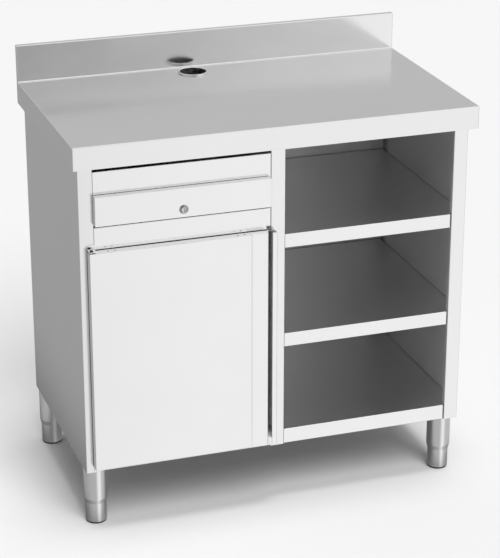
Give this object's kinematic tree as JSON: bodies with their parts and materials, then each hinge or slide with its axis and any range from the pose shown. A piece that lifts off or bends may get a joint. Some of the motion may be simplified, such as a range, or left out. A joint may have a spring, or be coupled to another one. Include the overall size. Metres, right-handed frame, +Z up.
{
  "type": "coffee machine counter",
  "caption": "Free-standing stainless steel coffee machine counter with rear upstand, cable hole, lockable drawer, cupboard door, open shelves and adjustable legs.",
  "frame": {"origin": "on the floor under the middle of the worktop", "axes": "+X to the right seen from the front, -Y towards the front, +Z up"},
  "size_m": [1.07, 0.6, 1.15],
  "materials": {
    "brushed_steel": "satin stainless steel sheet",
    "shelf_steel": "smooth stainless steel sheet",
    "turned_steel": "drawn stainless steel tube",
    "zinc": "zinc plated steel",
    "chrome": "polished plate",
    "dark_steel": "blackened steel",
    "pale_plastic": "pale moulded plastic",
    "nylon": "black moulded nylon",
    "black_plastic": "moulded plastic",
    "magnet": "plastic case round a magnet"
  },
  "bodies": {
    "counter": {"worktop": "brushed_steel", "cable_collar": "brushed_steel", "left_worktop_stiffener": "brushed_steel", "right_worktop_stiffener": "brushed_steel", "left_side_panel": "brushed_steel", "right_side_panel": "brushed_steel", "centre_partition": "brushed_steel", "back_panel": "brushed_steel", "upper_front_rail": "brushed_steel", "middle_front_rail": "brushed_steel", "upper_hinge_bracket": "brushed_steel", "lower_hinge_bracket": "brushed_steel", "upper_shelf": "shelf_steel", "middle_shelf": "shelf_steel", "lower_shelf": "shelf_steel", "cupboard_base": "shelf_steel", "front_left_leg_tube": "turned_steel", "front_right_leg_tube": "turned_steel", "rear_left_leg_tube": "turned_steel", "rear_right_leg_tube": "turned_steel", "left_runner_outer": "zinc", "right_runner_outer": "zinc", "left_runner_support": "zinc", "front_left_leg_plate": "zinc", "front_right_leg_plate": "zinc", "rear_left_leg_plate": "zinc", "rear_right_leg_plate": "zinc", "upper_hinge_pin": "dark_steel", "lower_hinge_pin": "dark_steel", "door_magnet": "magnet"},
    "drawer": {"drawer_tray": "shelf_steel", "drawer_front": "brushed_steel", "lock_barrel": "chrome", "lock_nut": "zinc", "left_runner_inner": "zinc", "right_runner_inner": "zinc"},
    "lock": {"lock_plug": "chrome", "lock_cam": "zinc", "lock_cam_screw": "zinc"},
    "left_runner": {"left_runner_middle": "zinc"},
    "right_runner": {"right_runner_middle": "zinc"},
    "door": {"door_outer_skin": "brushed_steel", "door_inner_skin": "brushed_steel", "door_handle_profile": "brushed_steel", "handle_end_plug": "pale_plastic", "handle_top_plug": "pale_plastic", "upper_hinge_bush": "nylon", "lower_hinge_bush": "nylon", "door_keeper": "zinc"},
    "front_left_foot": {"front_left_leg_foot": "turned_steel", "front_left_foot_pad": "black_plastic"},
    "front_right_foot": {"front_right_leg_foot": "turned_steel", "front_right_foot_pad": "black_plastic"},
    "rear_left_foot": {"rear_left_leg_foot": "turned_steel", "rear_left_foot_pad": "black_plastic"},
    "rear_right_foot": {"rear_right_leg_foot": "turned_steel", "rear_right_foot_pad": "black_plastic"}
  },
  "joints": [
    {"name": "drawer_slide", "type": "slide", "parent": "counter", "child": "drawer", "axis": [0, -1, 0], "range_m": [0, 0.4]},
    {"name": "left_runner_slide", "type": "slide", "parent": "counter", "child": "left_runner", "axis": [0, -1, 0], "range_m": [0, 0.2]},
    {"name": "right_runner_slide", "type": "slide", "parent": "counter", "child": "right_runner", "axis": [0, -1, 0], "range_m": [0, 0.2]},
    {"name": "lock_turn", "type": "hinge", "parent": "drawer", "child": "lock", "pos_m": [-0.2545, -0.294, 0.8597], "axis": [0, 1, 0], "range_deg": [0, 90]},
    {"name": "door_swing", "type": "hinge", "parent": "counter", "child": "door", "pos_m": [-0.4915, -0.288, 0.1777], "axis": [0, 0, -1], "range_deg": [0, 120]},
    {"name": "front_left_levelling", "type": "slide", "parent": "counter", "child": "front_left_foot", "axis": [0, 0, -1], "range_m": [0, 0.03]},
    {"name": "front_right_levelling", "type": "slide", "parent": "counter", "child": "front_right_foot", "axis": [0, 0, -1], "range_m": [0, 0.03]},
    {"name": "rear_left_levelling", "type": "slide", "parent": "counter", "child": "rear_left_foot", "axis": [0, 0, -1], "range_m": [0, 0.03]},
    {"name": "rear_right_levelling", "type": "slide", "parent": "counter", "child": "rear_right_foot", "axis": [0, 0, -1], "range_m": [0, 0.03]}
  ],
  "couplings": [
    {"joint": "left_runner_slide", "follows": "drawer_slide", "ratio": 0.5},
    {"joint": "right_runner_slide", "follows": "drawer_slide", "ratio": 0.5}
  ]
}
